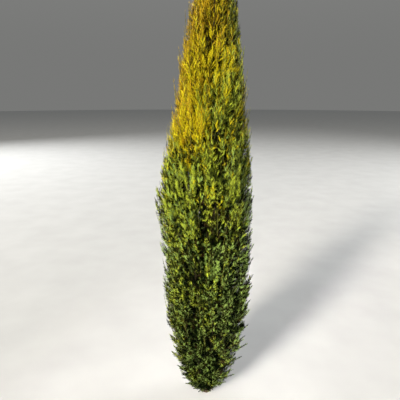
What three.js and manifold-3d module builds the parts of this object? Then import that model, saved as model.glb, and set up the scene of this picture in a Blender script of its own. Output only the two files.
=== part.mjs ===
// A golden columnar cypress, grown in open ground: one trunk that runs up to the leader,
// steep boughs in tiers round it, and a mass of upright, feathery foliage on each bough.
// Millimetres, +Z up, front towards -Y. The origin is the middle of the trunk's flat cut at the ground.
import * as THREE from "three";
import { mergeVertices } from "three/addons/utils/BufferGeometryUtils.js";
import Module from "manifold-3d";

const wasm = await Module();
wasm.setup();

// Whole tree
const TREE_HEIGHT = 2300;
const CROWN_RADIUS = 232;
const LEAN = 46; // how far the leader stands to the right of the foot
const LEAN_POWER = 2.6;
const SWAY = 5; // the trunk's small bends, front to back
const SWAY_LENGTH = 900;

// Crown outline: rounded in above the ground, full to the shoulder, then drawn in to the leader
const SKIRT_HEIGHT = 200;
const SKIRT_PINCH = 0.8;
const SHOULDER = 1150;
const CROWN_TOP = 2330;
const TAPER_POWER = 0.65;
const LEFT_FULLNESS = 0.14; // how much further the crown bulges on its left
const LEFT_BULGE = 1180; // at this height
const LEFT_BULGE_SPAN = 240;

// Trunk
const TRUNK_RADIUS = 23;
const LEADER_RADIUS = 2;
const FLARE = 8; // how much the roots widen the foot
const FLARE_HEIGHT = 30;
const FLARE_LOBES = 5;
const LOBE_DEPTH = 0.28;
const TRUNK_SIDES = 12;
const TRUNK_RINGS = 18;
const RING_CROWDING = 1.7; // the rings stand closer together towards the flare
const TRUNK_TAPER_POWER = 1.05;
const SEAT_GAP = 0.35; // clear space between touching solids

// Tiers of boughs. Each tier's floor is a cone that rises outwards, steeper further up.
const MASSES_IN_TIER = [5, 5, 5, 5, 4, 4];
const FIRST_EDGE = 390; // where the second tier's floor meets the crown's outline
const TIER_RISE = 355;
const FIRST_SLOPE = 1.2;
const SLOPE_STEP = 0.4;
const WAVE_HEIGHT = 78; // a tier's floor rises and falls round the trunk by this
const WAVES = [
  // how many waves to a turn, their share of the height, and their turn from one tier to the next
  { count: 2, share: 0.6, turn: 2.1 },
  { count: 3, share: 0.4, turn: 1.3 },
];
const LEADER_CLEARANCE = 4;
const GROUND_CLEARANCE = 18;
const SKIRT_SLOPE = 0.15;
const TIER_TWIST = 0.5; // of a mass's width, from one tier to the next
const SIDE_SHIFT = 0.16; // how unevenly the masses of a tier share its circle
const LEAST_BULGE = 0.96; // of the outline, the fullness of a mass
const BULGE_SPREAD = 0.06;
const LAST_TIER = MASSES_IN_TIER.length - 1;

// Boughs
const BOUGH_RADIUS = 7.5;
const BOUGH_REACH = 0.33; // of the crown's radius
const LOW_BOUGH_REACH = 0.25;
const BOUGH_LIFT = 31; // above the tier's floor
const BOUGH_LEAST_RISE = 0.6; // of its reach
const BOUGH_BEND = [0.58, 0.54]; // of its reach and of its rise
const BOUGH_TAPER = 0.62;
const TOP_BOUGH_SHARE = 0.52; // of the lowest boughs' radius
const TIER_MIDDLE = 120; // roughly, above a bough's foot
const BOUGH_SIDES = 5;
const BOUGH_RINGS = 4;

// Stems, which carry the boughs on into the masses
const STEM_BEND = 10;
const STEM_LEAN = 14;
const STEM_RISE = 72;
const STEM_TAPER = 0.7;

// Cores of the masses
const CORE_SHARE = 0.64; // of the crown's radius
const CORE_STEPS = 5;
const CORE_SIDE_GAP = 5;
const CORE_SIDE_SHRINK = 0.36; // how much smaller its cuts are at the mass's sides
const CORE_SIDE_RECESS = 0.1;
const CORE_ROUGHNESS = 0.1;
const CORE_TOP = 2040; // of the topmost masses
const CORE_PEAK = 50; // how much higher those stand beside the leader
const CORE_ABOVE_FLOOR = 34;
const CORE_ABOVE_GROUND_FLOOR = 22;
const CORE_BELOW_CEILING = 26;
const CORE_ABOVE_BOUGH = 26;
const CORE_THINNEST = 60; // beside the trunk
const CORE_INNER_FOOT = 0.55; // of the height beside the trunk
const TRUNK_CLEARANCE = 8;
const CORE_TRUNK_GAP = 12;

// Plumes: each a three-sided twig that widens into three toothed wings of foliage and ends in a tip
const PLUMES = [7, 8, 8, 8, 7, 8]; // on each mass, by tier
const LONGEST_PLUME = 270;
const SHORTEST_PLUME = 55;
const TWIG_RADIUS = 4.5;
const ROOT_DEPTH = 16;
const LENGTH_STEP = 5;
const ROOT_ABOVE_CORE_FOOT = 6;
const ROOT_BELOW_CORE_TOP = 8;
const WING_WIDTH = 0.17; // of its length
const WING_SHARE = 0.3; // of the crown's radius, the most that a wing takes
const WING_STAGGER = 0.05;
const LOW_TILT = 0.92; // radians from upright
const HIGH_TILT = 0.27;
const TILT_POWER = 0.6;
const OUTLINE_PULL = 0.8; // how far plumes turn with the outline's own slope
const PLUME_SPREAD = 0.8; // of a mass's width
const CELL_MARGIN = 2;
const TRIES = 10;
const SHRINK = 0.9; // of a plume's width, at each try
const TRY_DROP = 9; // how far a plume near its ceiling comes down at each try
const TRY_LIFT = 5; // and one near its floor goes up
const TRY_STEEPER = 0.035;
const TRY_FLATTER = 0.05;
const TRY_TOP_FLATTER = 0.017; // beside the leader
const TRY_INWARDS = 0.01; // of the reach
const TIP_SHARE = 0.99; // of the reach
const ROLL_SPREAD = 0.5;
const HEADING_SPREAD = 0.3;
const GOLDEN_STEP = 0.618034; // of a mass's width, from one plume to the next
const PLACE_SPREAD = [0.1, 0.4]; // across a mass, and up it in steps
const LOWEST_TIP = 8; // above the tier's floor
const HIGHEST_TIP = 5; // below its ceiling
const TOP_TIP = 14; // below the leader's
const LOW_PLUMES = 0.45; // of a mass's height
const RECESS = 0.1; // how far a mass's sides fall back from the outline
const TIDY = 0.02; // slivers under this size are smoothed away
const SEED = 1701;

const materials = {
  bark: new THREE.MeshStandardMaterial({ color: "#6f5c4a", roughness: 0.9, metalness: 0 }),
  green: new THREE.MeshStandardMaterial({ color: "#4f6a1e", roughness: 0.7, metalness: 0 }),
  lime: new THREE.MeshStandardMaterial({ color: "#8d9420", roughness: 0.7, metalness: 0 }),
  gold: new THREE.MeshStandardMaterial({ color: "#b09a1e", roughness: 0.7, metalness: 0 }),
};
const TIER_MATERIALS = ["green", "green", "lime", "lime", "gold", "gold"];

// Numbers from 0 to 1 that are the same on every run.
function seededRandom(seed) {
  let state = seed >>> 0;
  return () => {
    state = (state + 0x6d2b79f5) >>> 0;
    let mixed = Math.imul(state ^ (state >>> 15), state | 1);
    mixed ^= mixed + Math.imul(mixed ^ (mixed >>> 7), mixed | 61);
    return ((mixed ^ (mixed >>> 14)) >>> 0) / 4294967296;
  };
}

const mix = THREE.MathUtils.lerp;

function trunkCentre(z) {
  const x = LEAN * Math.pow(Math.max(z, 0) / TREE_HEIGHT, LEAN_POWER);
  const y = SWAY * Math.sin((Math.PI * 2 * z) / SWAY_LENGTH);
  return new THREE.Vector3(x, y, z);
}

function trunkRadius(z) {
  const share = THREE.MathUtils.clamp(z / TREE_HEIGHT, 0, 1);
  return mix(TRUNK_RADIUS, LEADER_RADIUS, Math.pow(share, TRUNK_TAPER_POWER));
}

// The trunk's radius on one side, with the root flare near the ground.
function barkRadius(azimuth, z) {
  const flare = FLARE * Math.exp(-z / FLARE_HEIGHT);
  return trunkRadius(z) + flare * (1 + LOBE_DEPTH * Math.cos(FLARE_LOBES * azimuth));
}

function crownRadius(z) {
  const skirt = 1 - SKIRT_PINCH * Math.exp(-Math.max(z, 0) / SKIRT_HEIGHT);
  const drawnIn = THREE.MathUtils.clamp((z - SHOULDER) / (CROWN_TOP - SHOULDER), 0, 1);
  return CROWN_RADIUS * skirt * Math.pow(1 - drawnIn, TAPER_POWER);
}

// A point by azimuth, distance from the trunk's axis, and height.
function around(azimuth, r, z) {
  return trunkCentre(z).add(new THREE.Vector3(Math.cos(azimuth) * r, Math.sin(azimuth) * r, 0));
}

function cylindrical(point) {
  const centre = trunkCentre(point.z);
  const x = point.x - centre.x;
  const y = point.y - centre.y;
  return { azimuth: Math.atan2(y, x), r: Math.hypot(x, y) };
}

// Height of a tier's floor at an azimuth and a distance from the trunk's axis.
function tierFloor(tier, azimuth, r) {
  if (tier === 0) return GROUND_CLEARANCE + SKIRT_SLOPE * r;
  const edge = FIRST_EDGE + TIER_RISE * (tier - 1);
  const slope = FIRST_SLOPE + SLOPE_STEP * (tier - 1);
  const wave = WAVES.reduce((sum, w) => sum + w.share * Math.cos(w.count * azimuth + w.turn * tier), 0);
  return edge + WAVE_HEIGHT * wave + slope * (r - crownRadius(edge));
}

function tierCeiling(tier, azimuth, r) {
  return tier < LAST_TIER ? tierFloor(tier + 1, azimuth, r) : TREE_HEIGHT - LEADER_CLEARANCE;
}

// The spaces that the masses keep to: wedges of a tier, set off by half a mass from the tier below.
function crownCells() {
  const cells = [];
  MASSES_IN_TIER.forEach((count, tier) => {
    const random = seededRandom(SEED + tier);
    const step = (Math.PI * 2) / count;
    const sides = [];
    for (let i = 0; i < count; i += 1) {
      sides.push(step * (i + TIER_TWIST * tier + SIDE_SHIFT * (random() - 0.5) * 2));
    }
    sides.push(sides[0] + Math.PI * 2);
    for (let i = 0; i < count; i += 1) {
      cells.push({
        tier,
        index: i,
        middle: (sides[i] + sides[i + 1]) / 2,
        half: (sides[i + 1] - sides[i]) / 2,
        bulge: LEAST_BULGE + BULGE_SPREAD * random(),
        seed: SEED * (tier + 2) + i * 37,
      });
    }
  });
  return cells;
}

// The turn from a cell's middle to an azimuth, from -PI to PI.
function turnFrom(cell, azimuth) {
  const turn = azimuth - cell.middle;
  return Math.atan2(Math.sin(turn), Math.cos(turn));
}

// How far from the axis a cell's foliage may reach.
function cellReach(cell, azimuth, z) {
  const share = Math.min(1, Math.abs(turnFrom(cell, azimuth)) / cell.half);
  const level = Math.exp(-(((z - LEFT_BULGE) / LEFT_BULGE_SPAN) ** 2));
  const left = 1 + LEFT_FULLNESS * level * Math.max(0, -Math.cos(azimuth));
  return crownRadius(z) * cell.bulge * left * (1 - RECESS * share * share);
}

function isInCell(cell, point) {
  const { azimuth, r } = cylindrical(point);
  const toSide = (cell.half - Math.abs(turnFrom(cell, azimuth))) * r;
  return (
    toSide > CELL_MARGIN &&
    r > trunkRadius(point.z) + TRUNK_CLEARANCE &&
    r < cellReach(cell, azimuth, point.z) &&
    point.z > tierFloor(cell.tier, azimuth, r) + CELL_MARGIN &&
    point.z < tierCeiling(cell.tier, azimuth, r) - CELL_MARGIN
  );
}

// One closed manifold-3d solid from corners and triangles, turned to face out.
function solidFrom(corners, triangles) {
  const geometry = new THREE.BufferGeometry().setFromPoints(corners);
  geometry.setIndex(triangles);
  const merged = mergeVertices(geometry, 1e-4);
  const build = (order) =>
    new wasm.Manifold(
      new wasm.Mesh({
        numProp: 3,
        vertProperties: merged.attributes.position.array,
        triVerts: new Uint32Array(order),
      }),
    );
  const order = Array.from(merged.index.array);
  const made = build(order);
  return made.volume() > 0 ? made : build(order.reverse());
}

// A closed skin over rings of equally many points, with a fan of triangles over each end.
function skin(rings) {
  const sides = rings[0].length;
  const corners = rings.flat();
  const triangles = [];
  for (let ring = 0; ring + 1 < rings.length; ring += 1) {
    for (let side = 0; side < sides; side += 1) {
      const a = ring * sides + side;
      const b = ring * sides + ((side + 1) % sides);
      triangles.push(a, b, a + sides, b, b + sides, a + sides);
    }
  }
  for (let side = 1; side + 1 < sides; side += 1) {
    const last = (rings.length - 1) * sides;
    triangles.push(0, side + 1, side, last, last + side, last + side + 1);
  }
  return solidFrom(corners, triangles);
}

// Two directions square to a limb's own, the same for nearby directions.
function crossAxes(direction) {
  const level = Math.abs(direction.z) > 0.9 ? new THREE.Vector3(1, 0, 0) : new THREE.Vector3(0, 0, 1);
  const first = new THREE.Vector3().crossVectors(direction, level).normalize();
  return [first, new THREE.Vector3().crossVectors(direction, first)];
}

// A tapering limb along points, its rings all square to one direction so that it doesn't twist.
function limb(path, radii, sides, direction) {
  const [first, second] = crossAxes(direction);
  const rings = path.map((centre, i) => {
    const ring = [];
    for (let side = 0; side < sides; side += 1) {
      const angle = (side / sides) * Math.PI * 2;
      ring.push(
        centre
          .clone()
          .addScaledVector(first, Math.cos(angle) * radii[i])
          .addScaledVector(second, Math.sin(angle) * radii[i]),
      );
    }
    return ring;
  });
  return skin(rings);
}

// The trunk, or its outline grown by a gap, which cuts the boughs' feet.
function trunkSolid(gap) {
  const rings = [];
  for (let i = 0; i < TRUNK_RINGS; i += 1) {
    const share = i / (TRUNK_RINGS - 1);
    const z = TREE_HEIGHT * Math.pow(share, RING_CROWDING);
    const centre = trunkCentre(z);
    const ring = [];
    for (let side = 0; side < TRUNK_SIDES; side += 1) {
      const azimuth = (side / TRUNK_SIDES) * Math.PI * 2;
      const r = barkRadius(azimuth, z) + gap;
      ring.push(new THREE.Vector3(centre.x + r * Math.cos(azimuth), centre.y + r * Math.sin(azimuth), z));
    }
    rings.push(ring);
  }
  return skin(rings);
}

// A bough's line: out of the trunk and up along its tier's floor.
function boughLine(cell) {
  const foot = tierFloor(cell.tier, cell.middle, 0) + BOUGH_LIFT;
  const reach = (cell.tier === 0 ? LOW_BOUGH_REACH : BOUGH_REACH) * crownRadius(foot + TIER_MIDDLE);
  const alongFloor = tierFloor(cell.tier, cell.middle, reach) + BOUGH_LIFT;
  const tipHeight = Math.max(alongFloor, foot + BOUGH_LEAST_RISE * reach);
  const bend = around(cell.middle, BOUGH_BEND[0] * reach, mix(foot, tipHeight, BOUGH_BEND[1]));
  return new THREE.QuadraticBezierCurve3(
    around(cell.middle, 0, foot),
    bend,
    around(cell.middle, reach, tipHeight),
  );
}

function boughRadius(cell) {
  return BOUGH_RADIUS * mix(1, TOP_BOUGH_SHARE, cell.tier / LAST_TIER);
}

function boughDirection(cell) {
  const line = boughLine(cell);
  return line.getPoint(1).sub(line.getPoint(0)).normalize();
}

function boughSolid(cell, trunkCutter) {
  const path = boughLine(cell).getPoints(BOUGH_RINGS - 1);
  const thick = boughRadius(cell);
  const radii = path.map((_, i) => thick * mix(1, BOUGH_TAPER, i / (BOUGH_RINGS - 1)));
  return limb(path, radii, BOUGH_SIDES, boughDirection(cell)).subtract(trunkCutter);
}

// The stem of a mass: it carries the bough on from a hair's breadth past its tip, and turns up.
function stemSolid(cell) {
  const direction = boughDirection(cell);
  const start = boughLine(cell).getPoint(1).addScaledVector(direction, SEAT_GAP);
  const bend = start.clone().addScaledVector(direction, STEM_BEND);
  const end = around(cell.middle, cylindrical(bend).r + STEM_LEAN, bend.z + STEM_RISE);
  const thick = boughRadius(cell) * BOUGH_TAPER;
  return limb([start, bend, end], [thick, thick, thick * STEM_TAPER], BOUGH_SIDES, direction);
}

// Where a boundary of a tier, its height by distance from the axis, meets a share of the crown's outline.
function edgeOf(boundary, share) {
  let z = boundary(CROWN_RADIUS * share);
  for (let i = 0; i < 40; i += 1) z = mix(z, boundary(share * crownRadius(z)), 0.5);
  return { r: share * crownRadius(z), z };
}

// The core's cut at one azimuth, as distances and heights from the trunk's side round to the outline.
function coreCut(cell, azimuth, share) {
  const { tier } = cell;
  const boughTip = boughLine(cell).getPoint(1);
  const tip = cylindrical(boughTip);
  const shift = tierFloor(tier, azimuth, 0) - tierFloor(tier, cell.middle, 0);
  const tipHeight = boughTip.z + shift;
  const inner = trunkRadius(tipHeight) + CORE_TRUNK_GAP;
  const lift = tier === 0 ? CORE_ABOVE_GROUND_FLOOR : CORE_ABOVE_FLOOR;
  const low = edgeOf((r) => tierFloor(tier, azimuth, r) + lift, share);
  const isTop = tier === LAST_TIER;
  const high = isTop
    ? { r: share * crownRadius(CORE_TOP), z: CORE_TOP }
    : edgeOf((r) => tierCeiling(tier, azimuth, r) - CORE_BELOW_CEILING, share);
  const innerTop = isTop ? CORE_TOP + CORE_PEAK : tierCeiling(tier, azimuth, inner) - CORE_BELOW_CEILING;
  const middleHeight = (low.z + high.z) / 2;
  return [
    { r: inner, z: mix(tipHeight, innerTop, CORE_INNER_FOOT) },
    { r: tip.r, z: tipHeight + CORE_ABOVE_BOUGH },
    low,
    { r: share * crownRadius(middleHeight), z: middleHeight },
    high,
    { r: inner, z: Math.max(innerTop, tipHeight + CORE_THINNEST) },
  ];
}

// The dense inside of a mass: cuts across the cell, smaller towards its sides.
function coreSolid(cell, random) {
  const rings = [];
  for (let step = 0; step < CORE_STEPS; step += 1) {
    const across = (step / (CORE_STEPS - 1)) * 2 - 1;
    const azimuth = cell.middle + across * cell.half;
    const cut = coreCut(cell, azimuth, CORE_SHARE * (1 - CORE_SIDE_RECESS * across * across));
    const middle = {
      r: cut.reduce((sum, p) => sum + p.r, 0) / cut.length,
      z: cut.reduce((sum, p) => sum + p.z, 0) / cut.length,
    };
    const keep = 1 - CORE_SIDE_SHRINK * Math.abs(across) ** 3;
    rings.push(
      cut.map((corner) => {
        const rough = 1 - CORE_ROUGHNESS * random();
        const r = mix(middle.r, corner.r, keep * (corner.r > middle.r ? rough : 1));
        const z = mix(middle.z, corner.z, keep * rough);
        const half = cell.half - CORE_SIDE_GAP / r;
        return around(cell.middle + across * half, r, z);
      }),
    );
  }
  return skin(rings);
}

// A plume's wing edge and the valley between wings, as shares of its length and of its width.
const WING_EDGE = [
  [0.46, 1],
  [0.48, 0.5],
  [0.76, 0.64],
];
const VALLEY = [
  [0.3, 0.12],
  [0.42, 0.14],
  [0.62, 0.1],
];

// A plume's corners: six round the twig, then six at each step of its wings, and the tip.
function plumeCorners(root, direction, roll, length, width, random) {
  const outward = new THREE.Vector3(direction.x, direction.y, 0).normalize();
  const first = outward.addScaledVector(direction, -outward.dot(direction)).normalize();
  const second = new THREE.Vector3().crossVectors(direction, first);
  const stagger = [0, 1, 2].map(() => WING_STAGGER * (random() - 0.5));
  const at = (corner, along, out) => {
    const angle = roll + (corner / 6) * Math.PI * 2;
    return root
      .clone()
      .addScaledVector(direction, along * length)
      .addScaledVector(first, Math.cos(angle) * out)
      .addScaledVector(second, Math.sin(angle) * out);
  };
  const corners = [0, 1, 2, 3, 4, 5].map((corner) => at(corner, 0, TWIG_RADIUS * (corner % 2 ? 0.5 : 1)));
  WING_EDGE.forEach(([edgeAlong, edgeOut], step) => {
    const [valleyAlong, valleyOut] = VALLEY[step];
    for (let corner = 0; corner < 6; corner += 1) {
      const isWing = corner % 2 === 0;
      const along = isWing ? edgeAlong + stagger[corner / 2] : valleyAlong;
      corners.push(at(corner, along, width * (isWing ? edgeOut : valleyOut)));
    }
  });
  corners.push(at(0, 1, 0));
  return corners;
}

function plumeSolid(corners) {
  const tip = corners.length - 1;
  const triangles = [];
  for (let ring = 0; ring < WING_EDGE.length; ring += 1) {
    for (let side = 0; side < 6; side += 1) {
      const a = ring * 6 + side;
      const b = ring * 6 + ((side + 1) % 6);
      // the diagonal runs up the valley's side, so that each wing stays thin and its teeth sharp
      if (side % 2 === 0) triangles.push(a, b, a + 6, b, b + 6, a + 6);
      else triangles.push(a, b, b + 6, a, b + 6, a + 6);
    }
  }
  for (let side = 0; side < 6; side += 1) {
    triangles.push(tip - 6 + side, tip - 6 + ((side + 1) % 6), tip);
  }
  for (let side = 1; side < 5; side += 1) triangles.push(0, side + 1, side);
  return solidFrom(corners, triangles);
}

// The way a plume grows at a height: outwards near the ground, almost upright near the leader.
function growth(azimuth, z, extraTilt, random) {
  const share = Math.pow(THREE.MathUtils.clamp(z / TREE_HEIGHT, 0, 1), TILT_POWER);
  const slope = crownRadius(z + 0.5) - crownRadius(z - 0.5);
  const tilt = mix(LOW_TILT, HIGH_TILT, share) + OUTLINE_PULL * Math.atan(slope) + extraTilt;
  const heading = azimuth + HEADING_SPREAD * (random() - 0.5);
  return new THREE.Vector3(
    Math.cos(heading) * Math.sin(tilt),
    Math.sin(heading) * Math.sin(tilt),
    Math.cos(tilt),
  );
}

function isClearOfBough(cell, point) {
  const nearest = Math.min(...boughLine(cell).getPoints(8).map((other) => other.distanceTo(point)));
  return nearest > BOUGH_RADIUS + 2 * TWIG_RADIUS;
}

// From a plume's tip back down to where it is well inside the core.
function plumeRoot(cell, tip, direction) {
  const [, , low, , high] = coreCut(cell, cylindrical(tip).azimuth, CORE_SHARE);
  for (let length = SHORTEST_PLUME; length <= LONGEST_PLUME; length += LENGTH_STEP) {
    const root = tip.clone().addScaledVector(direction, -length);
    const { r } = cylindrical(root);
    const inside = r < CORE_SHARE * crownRadius(root.z) - ROOT_DEPTH;
    if (inside && root.z < high.z - ROOT_BELOW_CORE_TOP) {
      const isHighEnough = root.z > low.z + ROOT_ABOVE_CORE_FOOT;
      return isHighEnough && isInCell(cell, root) && isClearOfBough(cell, root) ? root : null;
    }
  }
  return null;
}

// A plume that ends at the crown's outline, narrower at each try until it fits its cell. Near the
// cell's floor it lies flatter, with one wing up, and near the ceiling it stands steeper, one wing down.
function fittedPlume(cell, { azimuth, z: height, isLow }, random) {
  const upperLean = cell.tier === LAST_TIER ? TRY_TOP_FLATTER : -TRY_STEEPER;
  for (let attempt = 0; attempt < TRIES; attempt += 1) {
    const z = height + (isLow ? TRY_LIFT : -TRY_DROP) * attempt;
    const tip = around(azimuth, (TIP_SHARE - TRY_INWARDS * attempt) * cellReach(cell, azimuth, z), z);
    if (!isInCell(cell, tip)) continue;
    const direction = growth(azimuth, z, (isLow ? TRY_FLATTER : upperLean) * attempt, random);
    const root = plumeRoot(cell, tip, direction);
    if (!root) continue;
    const length = root.distanceTo(tip);
    const width = Math.min(length * WING_WIDTH, WING_SHARE * crownRadius(root.z)) * SHRINK ** attempt;
    const roll = (isLow ? Math.PI : 0) + ROLL_SPREAD * (random() - 0.5);
    const corners = plumeCorners(root, direction, roll, length, width, random);
    if (corners.slice(6).every((corner) => isInCell(cell, corner))) return plumeSolid(corners);
  }
  return null;
}

// Where the plumes of a mass end: spread over its width and height, each well away from the last.
function plumePlaces(cell, random) {
  const count = PLUMES[cell.tier];
  const places = [];
  for (let number = 0; number < count; number += 1) {
    const across = ((number * GOLDEN_STEP + PLACE_SPREAD[0] * random()) % 1) * 2 - 1;
    const up = Math.min(1, (number + PLACE_SPREAD[1] * random()) / (count - 1));
    const azimuth = cell.middle + PLUME_SPREAD * across * cell.half;
    const low = edgeOf((r) => tierFloor(cell.tier, azimuth, r), 1).z + LOWEST_TIP;
    const ceiling = edgeOf((r) => tierCeiling(cell.tier, azimuth, r), 1).z;
    const high = Math.min(ceiling - HIGHEST_TIP, TREE_HEIGHT - TOP_TIP);
    places.push({ azimuth, z: mix(low, high, up), isLow: up < LOW_PLUMES });
  }
  return places;
}

// A mass: the stem that carries on from its bough, the core, and the plumes that stand out of it.
function massSolid(cell) {
  const random = seededRandom(cell.seed);
  let mass = coreSolid(cell, random).add(stemSolid(cell));
  for (const place of plumePlaces(cell, random)) {
    const plume = fittedPlume(cell, place, random);
    if (plume) mass = mass.add(plume);
  }
  const bodies = mass.simplify(TIDY).decompose();
  return bodies.reduce((largest, body) => (body.volume() > largest.volume() ? body : largest));
}

function meshFrom(name, solid, material) {
  const { numProp, vertProperties, triVerts } = solid.getMesh();
  const places = new Float32Array((vertProperties.length / numProp) * 3);
  for (let i = 0; i * numProp < vertProperties.length; i += 1) {
    places.set(vertProperties.subarray(i * numProp, i * numProp + 3), i * 3);
  }
  const geometry = new THREE.BufferGeometry();
  geometry.setAttribute("position", new THREE.BufferAttribute(places, 3));
  geometry.setIndex(new THREE.BufferAttribute(triVerts, 1));
  geometry.computeVertexNormals();
  const mesh = new THREE.Mesh(geometry, material);
  mesh.name = name;
  return mesh;
}

const tree = new THREE.Group();
const trunkCutter = trunkSolid(SEAT_GAP);
tree.add(meshFrom("trunk", trunkSolid(0), materials.bark));
for (const cell of crownCells()) {
  const place = `tier${cell.tier + 1}_${cell.index + 1}`;
  tree.add(meshFrom(`bough_${place}`, boughSolid(cell, trunkCutter), materials.bark));
  tree.add(meshFrom(`foliage_${place}`, massSolid(cell), materials[TIER_MATERIALS[cell.tier]]));
}

export default tree;
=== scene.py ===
import math
from collections import namedtuple

import bpy
import numpy as np
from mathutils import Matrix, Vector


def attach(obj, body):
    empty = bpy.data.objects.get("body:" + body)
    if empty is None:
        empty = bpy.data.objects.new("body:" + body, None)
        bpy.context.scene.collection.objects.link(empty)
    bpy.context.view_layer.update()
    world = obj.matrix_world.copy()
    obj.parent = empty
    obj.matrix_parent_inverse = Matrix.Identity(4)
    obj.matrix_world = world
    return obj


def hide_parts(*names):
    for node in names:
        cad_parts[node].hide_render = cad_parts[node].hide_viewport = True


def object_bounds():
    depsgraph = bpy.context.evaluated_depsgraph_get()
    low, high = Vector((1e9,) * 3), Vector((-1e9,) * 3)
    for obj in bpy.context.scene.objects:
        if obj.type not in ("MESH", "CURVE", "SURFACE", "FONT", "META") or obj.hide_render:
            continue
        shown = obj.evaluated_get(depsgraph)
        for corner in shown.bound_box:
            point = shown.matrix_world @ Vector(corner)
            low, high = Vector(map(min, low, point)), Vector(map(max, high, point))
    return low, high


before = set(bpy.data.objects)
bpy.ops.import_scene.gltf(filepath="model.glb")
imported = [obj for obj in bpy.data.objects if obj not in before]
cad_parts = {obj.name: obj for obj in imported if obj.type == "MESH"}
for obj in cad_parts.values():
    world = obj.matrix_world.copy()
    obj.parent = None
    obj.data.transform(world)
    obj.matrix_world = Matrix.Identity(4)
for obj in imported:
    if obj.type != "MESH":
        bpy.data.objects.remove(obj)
solids_box = [list(corner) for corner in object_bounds()]

# Sizes below are in millimetres, as in the solids; the meshes are made in metres.
METRE = 0.001

# Whole tree
TREE_HEIGHT = 2300
CROWN_RADIUS = 232
LEAN = 46
LEAN_POWER = 2.6
SWAY = 5
SWAY_LENGTH = 900

# Crown outline
SKIRT_HEIGHT = 200
SKIRT_PINCH = 0.8
SHOULDER = 1150
CROWN_TOP = 2330
TAPER_POWER = 0.65
LEFT_FULLNESS = 0.14
LEFT_BULGE = 1180
LEFT_BULGE_SPAN = 240

# Trunk
TRUNK_RADIUS = 23
LEADER_RADIUS = 2
TRUNK_TAPER_POWER = 1.05
FLARE = 8
FLARE_HEIGHT = 30
FLARE_LOBES = 5
LOBE_DEPTH = 0.28

# Tiers of boughs
MASSES_IN_TIER = [5, 5, 5, 5, 4, 4]
FIRST_EDGE = 390
TIER_RISE = 355
FIRST_SLOPE = 1.2
SLOPE_STEP = 0.4
WAVE_HEIGHT = 78
WAVES = [(2, 0.6, 2.1), (3, 0.4, 1.3)]  # waves to a turn, share of the height, turn from tier to tier
LEADER_CLEARANCE = 4
GROUND_CLEARANCE = 18
SKIRT_SLOPE = 0.15
TIER_TWIST = 0.5
SIDE_SHIFT = 0.16
LEAST_BULGE = 0.96
BULGE_SPREAD = 0.06
RECESS = 0.1
LAST_TIER = len(MASSES_IN_TIER) - 1
SEED = 1701

# Boughs
BOUGH_RADIUS = 7.5
BOUGH_REACH = 0.33
LOW_BOUGH_REACH = 0.25
BOUGH_LIFT = 31
BOUGH_LEAST_RISE = 0.6
BOUGH_BEND = (0.58, 0.54)
BOUGH_TAPER = 0.62
TOP_BOUGH_SHARE = 0.52
TIER_MIDDLE = 120

# Growth
LOW_TILT = 0.92
HIGH_TILT = 0.27
TILT_POWER = 0.6
OUTLINE_PULL = 0.8
HEADING_SPREAD = 0.3
GOLDEN_STEP = 0.618034
GOLDEN_TURN = 2.399963

Cell = namedtuple("Cell", "tier index middle half bulge seed")


# The same numbers from 0 to 1 as the source draws.
def seeded_numbers(seed):
    state = seed & 0xFFFFFFFF
    while True:
        state = (state + 0x6D2B79F5) & 0xFFFFFFFF
        mixed = ((state ^ (state >> 15)) * (state | 1)) & 0xFFFFFFFF
        stirred = ((mixed ^ (mixed >> 7)) * (mixed | 61)) & 0xFFFFFFFF
        mixed ^= (mixed + stirred) & 0xFFFFFFFF
        yield (mixed ^ (mixed >> 14)) / 4294967296


def mix(a, b, share):
    return a + (b - a) * share


def unit(vectors):
    return vectors / np.maximum(np.linalg.norm(vectors, axis=-1, keepdims=True), 1e-9)


def trunk_centre(z):
    z = np.asarray(z, float)
    x = LEAN * (np.maximum(z, 0) / TREE_HEIGHT) ** LEAN_POWER
    y = SWAY * np.sin(2 * np.pi * z / SWAY_LENGTH)
    return np.stack([x, y, z], axis=-1)


def trunk_radius(z):
    share = np.clip(np.asarray(z, float) / TREE_HEIGHT, 0, 1)
    return mix(TRUNK_RADIUS, LEADER_RADIUS, share**TRUNK_TAPER_POWER)


def bark_radius(azimuth, z):
    flare = FLARE * np.exp(-z / FLARE_HEIGHT)
    return trunk_radius(z) + flare * (1 + LOBE_DEPTH * np.cos(FLARE_LOBES * azimuth))


def crown_radius(z):
    z = np.asarray(z, float)
    skirt = 1 - SKIRT_PINCH * np.exp(-np.maximum(z, 0) / SKIRT_HEIGHT)
    drawn_in = np.clip((z - SHOULDER) / (CROWN_TOP - SHOULDER), 0, 1)
    return CROWN_RADIUS * skirt * (1 - drawn_in) ** TAPER_POWER


def around(azimuth, r, z):
    azimuth, r, z = np.broadcast_arrays(azimuth, r, z)
    side = np.stack([np.cos(azimuth) * r, np.sin(azimuth) * r, np.zeros(z.shape)], axis=-1)
    return trunk_centre(z) + side


def cylindrical(points):
    offset = points - trunk_centre(points[..., 2])
    return np.arctan2(offset[..., 1], offset[..., 0]), np.hypot(offset[..., 0], offset[..., 1])


def tier_floor(tier, azimuth, r):
    if tier == 0:
        return GROUND_CLEARANCE + SKIRT_SLOPE * r
    edge = FIRST_EDGE + TIER_RISE * (tier - 1)
    slope = FIRST_SLOPE + SLOPE_STEP * (tier - 1)
    wave = sum(share * np.cos(count * azimuth + turn * tier) for count, share, turn in WAVES)
    return edge + WAVE_HEIGHT * wave + slope * (r - crown_radius(edge))


def tier_ceiling(tier, azimuth, r):
    if tier == LAST_TIER:
        return TREE_HEIGHT - LEADER_CLEARANCE + 0 * azimuth
    return tier_floor(tier + 1, azimuth, r)


SETTLING_ROUNDS = 40


# The height at which a tier's boundary meets the crown's outline.
def edge_height(boundary, tier, azimuth):
    z = boundary(tier, azimuth, CROWN_RADIUS)
    for _ in range(SETTLING_ROUNDS):
        z = mix(z, boundary(tier, azimuth, crown_radius(z)), 0.5)
    return z


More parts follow.
